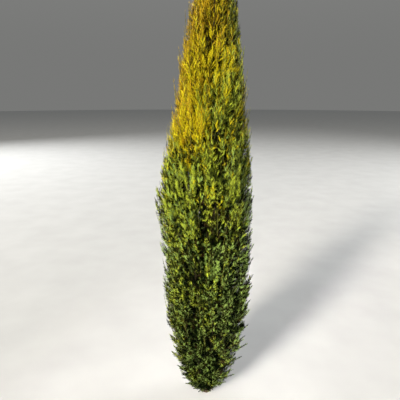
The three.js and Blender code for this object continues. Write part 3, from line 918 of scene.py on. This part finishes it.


# Plumes inside the mass, between its limb and the spires, where little light reaches: their low tone
# paints that shade into their colour.
def grow_inner_plumes(cell, limb, random):
    azimuth = dealt_sides(cell, INNER_PLUMES, 0.1, 1, random)
    low = edge_height(tier_floor, cell.tier, azimuth)
    high = edge_height(tier_ceiling, cell.tier, azimuth)
    share = mix(*INNER_SHARES, random.random(INNER_PLUMES) ** INNER_CROWDING)
    r = share * crown_radius(mix(low, high, 0.5))
    up = dealt_heights(INNER_PLUMES, random)
    low = tier_floor(cell.tier, azimuth, r) + INNER_GAP
    high = tier_ceiling(cell.tier, azimuth, r) - INNER_GAP
    z = mix(low, high, up)
    r = share * cell_reach(cell, azimuth, z)
    end = around(azimuth, r, z)
    way_in = np.maximum(np.abs(r - INNER_LIMBS_AT * crown_radius(z)), INNER_LEAST_WAY)
    start = twig_foot(cell, limb, z - INNER_DROP * way_in, INNER_TWIGS_FROM)
    span = np.linalg.norm(end - start, axis=-1, keepdims=True)
    bend = end - growth(azimuth, z, INNER_TILT, 0) * INNER_BEND * span
    tone = mix(*INNER_LIGHT, random.random(INNER_PLUMES))
    kind = kind_level(azimuth, z) + INNER_KIND
    width, past, opening = [np.full(INNER_PLUMES, value) for value in (INNER_WIDTH, 0.0, 1.0)]
    return Plumes(start, bend, end, width, tone, kind, past, opening)


WISP_SPREAD = 0.95
WISPS_ABOVE_FLOOR = 120
WISPS_PAST_CEILING = 80
WISPS_PAST_TOP = 16
WISP_LENGTHS = (120, 210)
WISP_LEAST_ROOM = 0.55
STAND_HEIGHTS = [1200, 1600, 2100, 2250]
STAND_OFF = [14, 24, 20, -6]  # the most that a wisp's tip stands off the outline
WISP_TURN = 0.2
WISP_BASE_REACH = 0.8
WISP_BEND = 0.55
WISP_BEND_DROP = 0.1
WISP_BEND_OUT = 0.4
WISP_LIGHT_SPREAD = 0.16
WISP_KIND_SPREAD = 0.8
WISP_WIDTH = 11.0
WISP_PAST = 10
WISP_OPENING = 0.7


# Thin upright shoots that stand off the crown's outline, more of them towards the top.
def grow_wisps(cell, random):
    count = WISPS[cell.tier]
    azimuth = dealt_sides(cell, count, 0.3, WISP_SPREAD, random)
    past = WISPS_PAST_TOP if cell.tier == LAST_TIER else WISPS_PAST_CEILING
    low = edge_height(tier_floor, cell.tier, azimuth) + WISPS_ABOVE_FLOOR
    high = edge_height(tier_ceiling, cell.tier, azimuth) + past
    z = mix(low, high, dealt_heights(count, random))
    room = np.clip(crown_radius(z) / ROOMY_RADIUS, WISP_LEAST_ROOM, 1)
    long = mix(*WISP_LENGTHS, random.random(count)) * room
    stand = np.interp(z, STAND_HEIGHTS, STAND_OFF) * random.random(count)
    tip = np.clip(around(azimuth, cell_reach(cell, azimuth, z) + stand, z), BOX_LOW, BOX_HIGH)
    base_z = z - long
    base_reach = WISP_BASE_REACH * cell_reach(cell, azimuth, base_z)
    base = around(azimuth + either_way(random, count, WISP_TURN), base_reach, base_z)
    bend = mix(base, tip, WISP_BEND) - UPWARD * (WISP_BEND_DROP * long)[:, None]
    _, tip_r = cylindrical(tip)
    bend_azimuth, bend_r = cylindrical(bend)
    bend = around(bend_azimuth, mix(bend_r, tip_r, WISP_BEND_OUT), bend[:, 2])
    tone = brightness(azimuth, z) + either_way(random, count, WISP_LIGHT_SPREAD)
    kind = kind_level(azimuth, z) + either_way(random, count, WISP_KIND_SPREAD)
    width, opening = [np.full(count, value) for value in (WISP_WIDTH, WISP_OPENING)]
    return Plumes(base, bend, tip, width, tone, kind, stand + WISP_PAST, opening)


LEADER_HEIGHTS = (2030, 2170, 2312)
LEADER_VALUES = (15.0, 0.62, 2.3, 20.0, 0.7)  # width, tone, kind, past and opening


# The plume along the tree's own leader, above its last boughs.
def leader_plume():
    start, bend, end = [trunk_centre(height)[None] for height in LEADER_HEIGHTS]
    return Plumes(start, bend, end, *[np.array([value]) for value in LEADER_VALUES])


TWIG_POINTS = 6
TWIG_ELBOW = 0.5
TWIG_RADII = (3.0, 0.7)
TWIG_SIDES = 4
FINE_TWIG_POINTS = 4
FINE_TWIG_RADII = (1.5, 0.5)
FINE_TWIG_SIDES = 3


# The twigs of a mass, from the limb out along each spire.
def grow_twigs(spires, foot):
    share = np.linspace(0, 1, TWIG_POINTS)[None]
    gap = np.linalg.norm(spires.start - foot, axis=-1, keepdims=True)
    heading = curve_heading(*spires, np.zeros(len(gap)))
    elbow = spires.start - heading * gap * TWIG_ELBOW
    inner = curve(foot[:, None], elbow[:, None], spires.start[:, None], share[:, :-1] + 0 * gap)
    outer = curve(*[points[:, None] for points in spires], share + 0 * gap)
    path = np.concatenate([inner, outer], axis=1)
    radii = np.linspace(*TWIG_RADII, path.shape[1])[None] + 0 * gap
    return limbs(path, radii, TWIG_SIDES)


# The finer twigs, out along each plume.
def grow_fine_twigs(plumes):
    share = np.linspace(0, 1, FINE_TWIG_POINTS)[None] + 0 * plumes.tone[:, None]
    path = curve(*[points[:, None] for points in plumes[:3]], share)
    return limbs(path, mix(*FINE_TWIG_RADII, share), FINE_TWIG_SIDES)


FULL_AT = 0.3  # of a plume's length
NARROWING_SPAN = 0.75
FOOT_BREADTH = 0.55
POINT_BREADTH = 0.42


# How wide a plume is at a share of its length: soon full, then drawn out to a feathery point.
def plume_outline(share):
    widening = np.clip(share / FULL_AT, 0, 1) ** 0.7
    narrowing = 1 - np.clip((share - FULL_AT) / NARROWING_SPAN, 0, 1) ** 1.3
    return mix(FOOT_BREADTH, 1, widening) * mix(POINT_BREADTH, 1, narrowing)


SHADING_ALONG = 0.6  # of the crown's change of colour with height, within a plume


# How far a value by height at each shoot's foot is from the one at its plume's tip, in part.
def along_plume(plumes, start, heights, values):
    low = np.interp(start[..., 2], heights, values)
    return SHADING_ALONG * (low - np.interp(plumes.end[:, 2], heights, values)[:, None])


FIRST_SHOOT = 0.06
PLACE_SPREAD = 0.7
TURN_SPREAD = 0.6
SHOOT_ANGLES = (0.85, 0.3)  # off the plume's axis, at its foot and its tip
SPREAD_ANGLES = (0.8, 0.5)  # that the plume's width is reckoned with
ANGLE_SPREAD = 0.22
END_SHOOTS_FROM = 0.97
END_ANGLE = 0.1
LENGTH_SPREAD = 0.5
SHORTER_HEIGHTS = [1150, 1550]
SHORTER = [0.86, 1]
FACING_UP = 0.7
FLAT_ROLL = 1.8
LEAST_HEIGHT = 5
# Old shoots are darkened as painted shade and fresh ones lightened as painted light, the more so where
# the contrast is high.
CONTRAST_HEIGHTS = [0, 600, 1200, 1500, 2300]
CONTRASTS = [2.1, 1.9, 1.55, 0.45, 0.3]  # of old and fresh shoots, which is softer towards the top
OLD_AND_SHADED_BY_CONTRAST = 0.16
OLD_AND_SHADED_IN_SUN = -0.45
HOLLOW_BARENESS = 0.9
HOLLOW_DEPTH = 0.7  # shoots further in than this share stay in a hollow
LIGHT_UP_PLUME = 0.2
SHOOT_LIGHT_SPREAD = 0.14
OLD_LIGHT = (-0.3, -0.17)  # and by contrast
FRESH_LIGHT = (0.08, 0.26)
SHADE_INSIDE = 1.2
SHADE_FROM = 0.78  # of the reach
NARROW = 30  # the least reach that shares are taken of
SUN_ON_SHOOTS = 0.3
HOLLOW_SHADE = 0.52


# The shoots of plumes, all round them at golden turns, their flats turned outwards and up. Older ones
# between the fresh are darker, partly from age and partly as painted shade; shoots deep in the mass and
# in the hollows get painted shade, and those in the sunny spots painted sunlight.
def grow_shoots(cell, plumes, each, lengths, old_and_shaded_share, random):
    count = len(plumes.tone)
    shape = (count, each)
    share = (np.arange(each) + PLACE_SPREAD * random.random(shape)) / (each - 1)
    share = FIRST_SHOOT + (1 - FIRST_SHOOT) * np.clip(share, 0, 1)
    whole = [points[:, None] for points in plumes[:3]]
    start = curve(*whole, share)
    z = start[..., 2]
    axis = curve_heading(*whole, share)
    turn = GOLDEN_TURN * np.arange(each) + SPIRE_TURN * random.random((count, 1))
    side = side_directions(axis, turn + TURN_SPREAD * random.random(shape))
    angle = mix(*SHOOT_ANGLES, share) * plumes.opening[:, None] + either_way(random, shape, ANGLE_SPREAD)
    angle = np.where(share > END_SHOOTS_FROM, END_ANGLE, angle)
    long = plumes.width[:, None] * plume_outline(share) / np.sin(mix(*SPREAD_ANGLES, share))
    long = np.clip(long * uneven(random, shape, LENGTH_SPREAD), *lengths)
    long = long * np.interp(z, SHORTER_HEIGHTS, SHORTER)
    heading = leaning(axis, side, angle)
    end = start + heading * long[..., None]
    end_azimuth, end_r = cylindrical(end)
    azimuth, r = cylindrical(start)
    facing = around(azimuth, 1.0, z) - trunk_centre(z) + FACING_UP * UPWARD
    across = unit(np.cross(heading, facing))
    flat = leaning(across, np.cross(heading, across), either_way(random, shape, FLAT_ROLL))
    limit = cell_reach(cell, end_azimuth, end[..., 2]) * spray_swell(end_azimuth, end[..., 2])
    keep = (end_r < limit + plumes.past[:, None]) & (z > LEAST_HEIGHT) & (end[..., 2] > LEAST_HEIGHT)
    keep &= np.all((end > BOX_LOW) & (end < BOX_HIGH), axis=-1)
    inside = np.clip(r / np.maximum(cell_reach(cell, azimuth, z), NARROW), 0, 1.1)
    contrast = np.interp(z, CONTRAST_HEIGHTS, CONTRASTS)
    hollow = within(HOLLOWS, azimuth, z)
    sunny = within(SUNNY_SPOTS, azimuth, z)
    keep &= (random.random(shape) > HOLLOW_BARENESS * hollow) | (inside < HOLLOW_DEPTH)
    old_and_shaded_share = old_and_shaded_share + OLD_AND_SHADED_BY_CONTRAST * contrast + OLD_AND_SHADED_IN_SUN * sunny
    old_and_shaded = random.random(shape) < old_and_shaded_share
    tone = plumes.tone[:, None] + LIGHT_UP_PLUME * (share - 0.5)
    tone = tone + either_way(random, shape, SHOOT_LIGHT_SPREAD)
    old_light, fresh_light = [level + slope * contrast for level, slope in (OLD_LIGHT, FRESH_LIGHT)]
    tone = tone + np.where(old_and_shaded, old_light, fresh_light)
    tone = tone - SHADE_INSIDE * np.maximum(0, SHADE_FROM - inside)
    tone = tone + SUN_ON_SHOOTS * sunny - HOLLOW_SHADE * hollow
    tone = tone + along_plume(plumes, start, LIGHT_HEIGHTS, BRIGHTNESS)
    kind = plumes.kind[:, None] + either_way(random, shape, KIND_SPREAD)
    kind = kind + along_plume(plumes, start, KIND_HEIGHTS, KIND_LEVELS)
    return Shoots(start[keep], heading[keep], flat[keep], long[keep], tone[keep], kind[keep])


# A shoot's own shape, in shares of its length: a rib with pairs of pointed lobes that stand
# forward, lifted a little to either side in turn, and a pointed end.
PAIRS = 4
RIB_SHARE = 0.82
LOBE_AHEAD = 0.2
LOBE_LIFT = 0.3
LOBE_WIDTH = 0.132
LOBE_SPAN = (0.2, 0.86)  # the part of a half wave that the lobes' widths follow along the rib
LOBE_FULLNESS = 0.8
LOBE_LIMIT = 0.97  # the furthest a lobe reaches along the shoot
END_WIDTH = 0.035
SHOOT_BEND = 0.08  # of its length, up at the tip
BREADTH_HEIGHTS = [300, 1150, 1550]
BREADTHS = [1.75, 1.42, 0.82]  # broad and short at the foot, slim at the top


def shoot_shape():
    rib = [RIB_SHARE * i / PAIRS for i in range(PAIRS + 1)]
    corners = [(along, 0.0, 0.0) for along in rib[:PAIRS]]
    corners += [(rib[PAIRS], END_WIDTH, 0.0), (rib[PAIRS], -END_WIDTH, 0.0), (1.0, 0.0, 0.0)]
    faces = [(PAIRS, PAIRS + 1, PAIRS + 2)]
    outer = [1]
    for pair in range(PAIRS):
        middle = (pair + 0.5) / PAIRS
        out = LOBE_WIDTH * math.sin(math.pi * mix(*LOBE_SPAN, middle)) ** LOBE_FULLNESS
        lift = LOBE_LIFT * (1 if pair % 2 else -1)
        for hand in (1, -1):
            last = pair + 1 if pair + 1 < PAIRS else (PAIRS if hand > 0 else PAIRS + 1)
            faces.append((pair, last, len(corners)))
            along = rib[pair + 1] + LOBE_AHEAD * (1 - 0.5 * middle)
            along = min(along, LOBE_LIMIT)
            corners.append((along, hand * out * math.cos(lift), out * math.sin(lift)))
            outer.append(1 if pair >= PAIRS / 2 else 0)
    return np.array(corners), np.array(faces), np.array(outer)


def shoot_meshes(shoots, breadth):
    shape, faces, outer = shoot_shape()
    up = np.cross(shoots.heading, shoots.side)
    wide = breadth * np.interp(shoots.start[:, 2], BREADTH_HEIGHTS, BREADTHS)[:, None]
    axes = np.stack([shoots.heading, shoots.side * wide, up * wide], axis=1)
    axes = axes * shoots.length[:, None, None]
    corners = shoots.start[:, None] + shape @ axes
    bend = (shape[:, 0] ** 2)[None, :, None] * up[:, None] * (SHOOT_BEND * shoots.length)[:, None, None]
    corners = corners + bend
    all_faces = faces[None] + (np.arange(len(shoots.length)) * len(shape))[:, None, None]
    return corners.reshape(-1, 3), all_faces.reshape(-1, 3), outer


LIFTED_FROM = 0.25  # the tone from which a shoot's outer half is brighter
DRY_SHARE = 0.1


# Which tint each face of the shoots takes: a shoot's outer half is a step brighter than the rest,
# and some deep inside the crown are dry and brown.
def tints_of(shoots, outer, random):
    lifted = outer[None] * (shoots.tone > LIFTED_FROM)[:, None]
    steps = np.clip(np.floor(shoots.tone * STEPS)[:, None] + lifted, 0, STEPS - 1)
    kinds = np.clip(np.round(shoots.kind), 0, len(KINDS) - 1)[:, None]
    is_dry = (random.random(len(shoots.tone)) < DRY_SHARE) & (shoots.tone < 0)
    return np.where(is_dry[:, None], len(KINDS) * STEPS, kinds * STEPS + steps).astype(int).ravel()


LIMB_TIP_RADIUS = 1.4
LIMB_SIDES = 7


# The shoots of all the masses in a tier, joined, and their twigs.
def dress_tier(tier, cells):
    shoot_parts = []
    tints = []
    twig_parts = []
    ages = []
    for cell in cells:
        random = np.random.default_rng(cell.seed)
        limb = mass_limb(cell)
        spires, foot, room, tone, kind = grow_spires(cell, limb, random)
        plumes = grow_plumes(cell, spires, room, tone, kind, random)
        inner = grow_inner_plumes(cell, limb, random)
        wisps = grow_wisps(cell, random)
        if tier == LAST_TIER and cell.index == 0:
            wisps = Plumes(*[np.concatenate(pair) for pair in zip(wisps, leader_plume())])
        fresh = grow_shoots(cell, plumes, SHOOTS, FRESH_LENGTHS, OLD_AND_SHADED_SHARE, random)
        shaded = grow_shoots(cell, inner, INNER_SHOOTS, SHADED_LENGTHS, INNER_OLD_AND_SHADED_SHARE, random)
        thin = grow_shoots(cell, wisps, WISP_SHOOTS, THIN_LENGTHS, OLD_AND_SHADED_SHARE, random)
        for shoots, breadth in ((fresh, 1), (shaded, SHADED_BREADTH), (thin, 1)):
            corners, faces, outer = shoot_meshes(shoots, breadth)
            shoot_parts.append((corners, faces))
            tints.append(tints_of(shoots, outer, random))
        taper = np.linspace(bough_radius(cell) * BOUGH_TAPER, LIMB_TIP_RADIUS, len(limb))
        own_limb = limbs(limb[None], taper[None], LIMB_SIDES)
        woody = [own_limb, grow_twigs(spires, foot), grow_fine_twigs(inner)]
        young = [grow_fine_twigs(plumes), grow_fine_twigs(wisps)]
        for part, age in [(part, 0) for part in woody] + [(part, 1) for part in young]:
            twig_parts.append(part)
            ages.append(np.full(len(part[1]), age))
    nodes = [f"foliage_tier{tier + 1}_{cell.index + 1}" for cell in cells]
    corners, faces = join(shoot_parts)
    foliage = joined_mesh(f"shoots_tier{tier + 1}", corners, faces, foliage_tints, np.concatenate(tints))
    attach(foliage, "root")
    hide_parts(*nodes)
    corners, faces = join(twig_parts)
    name = f"twigs_tier{tier + 1}"
    twigs = joined_mesh(name, corners, faces, [twig_bark, young_bark], np.concatenate(ages), smooth=True)
    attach(twigs, "root")
    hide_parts(*nodes)


all_cells = crown_cells()
corners, faces = trunk_mesh()
is_young = corners[faces[:, 0], 2] > YOUNG_LEADER
trunk = joined_mesh("trunk_bark", corners, faces, [trunk_bark, young_bark], is_young, smooth=True)
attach(trunk, "root")
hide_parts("trunk")
corners, faces = join([bough_mesh(cell) for cell in all_cells])
boughs = joined_mesh("bough_bark", corners, faces, [trunk_bark], smooth=True)
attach(boughs, "root")
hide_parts(*[f"bough_tier{cell.tier + 1}_{cell.index + 1}" for cell in all_cells])
for tier in range(len(MASSES_IN_TIER)):
    dress_tier(tier, [cell for cell in all_cells if cell.tier == tier])


# Floor, light and camera

FLOOR_RADIUS = 40.0  # metres
FLOOR_SIDES = 64


# Matt studio board, rolled paint on a flat panel: no shine, and faint mottling from the roller.
def studio_board():
    material = blank_material("studio_board")
    tree = material.node_tree
    place = add_node(tree, "ShaderNodeTexCoord").outputs["Object"]
    mottle = add_node(tree, "ShaderNodeTexNoise", {"Scale": 3.0, "Detail": 2.0}, {"Vector": place})
    stops = [(0.3, "#9c9ea0"), (0.7, "#a2a4a6")]
    colour = add_node(tree, "ShaderNodeValToRGB", links={"Fac": mottle.outputs["Fac"]}, stops=stops)
    paint = {"Base Color": colour.outputs["Color"]}
    shader = add_node(tree, "ShaderNodeBsdfPrincipled", {"Roughness": 0.9}, paint)
    return finish_material(material, shader)


def add_floor():
    angle = np.linspace(0, 2 * np.pi, FLOOR_SIDES, endpoint=False)
    rim = np.stack([np.cos(angle), np.sin(angle), 0 * angle], axis=-1) * FLOOR_RADIUS / METRE
    corners = np.concatenate([rim, [[0, 0, 0]]])
    side = np.arange(FLOOR_SIDES)
    faces = np.stack([side, (side + 1) % FLOOR_SIDES, 0 * side + FLOOR_SIDES], axis=-1)
    floor = joined_mesh("floor", corners, faces, [studio_board()])


# A soft lamp of a size in metres, turned to a place.
def add_soft_light(name, place, aim, size, power, colour, spread=180):
    lamp = bpy.data.lights.new(name, "AREA")
    lamp.shape = "DISK"
    lamp.size = size
    lamp.energy = power
    lamp.color = linear(colour)[:3]
    lamp.spread = math.radians(spread)
    light = bpy.data.objects.new(name, lamp)
    light.location = place
    heading = np.array(aim) - np.array(place)
    light.rotation_euler = (
        math.atan2(math.hypot(heading[0], heading[1]), -heading[2]),
        0,
        math.atan2(heading[1], heading[0]) - math.pi / 2,
    )
    bpy.context.scene.collection.objects.link(light)


# Plain studio air, a little brighter above, that fills the shadows.
def add_sky():
    world = bpy.data.worlds.new("studio_air")
    world.use_nodes = True
    tree = world.node_tree
    tree.nodes.clear()
    way = add_node(tree, "ShaderNodeTexCoord")
    height = add_node(tree, "ShaderNodeSeparateXYZ", links={"Vector": way.outputs["Generated"]})
    glow = add_node(
        tree,
        "ShaderNodeMapRange",
        {"From Min": 0.05, "From Max": 0.8, "To Min": 0.215, "To Max": 0.4},
        {"Value": height.outputs["Z"]},
        interpolation_type="SMOOTHSTEP",
    )
    strength = {"Strength": glow.outputs["Result"]}
    air = add_node(tree, "ShaderNodeBackground", {"Color": linear("#f0f1ee")}, strength)
    add_node(tree, "ShaderNodeOutputWorld", links={"Surface": air.outputs["Background"]})
    bpy.context.scene.world = world


# The view of someone who stands before the tree, with an ordinary lens, tilted down as much as
# the photograph.
EYE = (-0.03, -2.06, 1.6)
SENSOR_WIDTH = 36.0
LENS = 38.6
TILT_DOWN = 14.1


def add_camera():
    view = bpy.data.cameras.new("camera")
    view.sensor_width = SENSOR_WIDTH
    view.lens = LENS
    camera = bpy.data.objects.new("camera", view)
    camera.location = EYE
    camera.rotation_euler = (math.radians(90 - TILT_DOWN), 0, 0)
    bpy.context.scene.collection.objects.link(camera)
    bpy.context.scene.camera = camera


add_floor()
add_sky()
add_soft_light("key", (-9.4, -13.3, 8.8), (0, 0, 1.0), 2.9, 7000, "#fff4e2")
add_soft_light("fill", (3.2, -2.2, 2.4), (0, 0, 1.0), 2.0, 15, "#f2f4f6")
add_soft_light("low_fill", (-2.4, -4.2, 1.9), (0, 0, 0.3), 0.7, 18, "#fff8ee", spread=30)
add_soft_light("back_left", (-7.2, 9.2, 6.0), (0, 0, 1.0), 5.0, 1500, "#f6f4f0")
add_soft_light("back_right", (9.8, 5.0, 6.0), (0, 0, 1.0), 5.0, 1500, "#f6f4f0")
add_camera()
bpy.context.scene.view_settings.view_transform = "Standard"
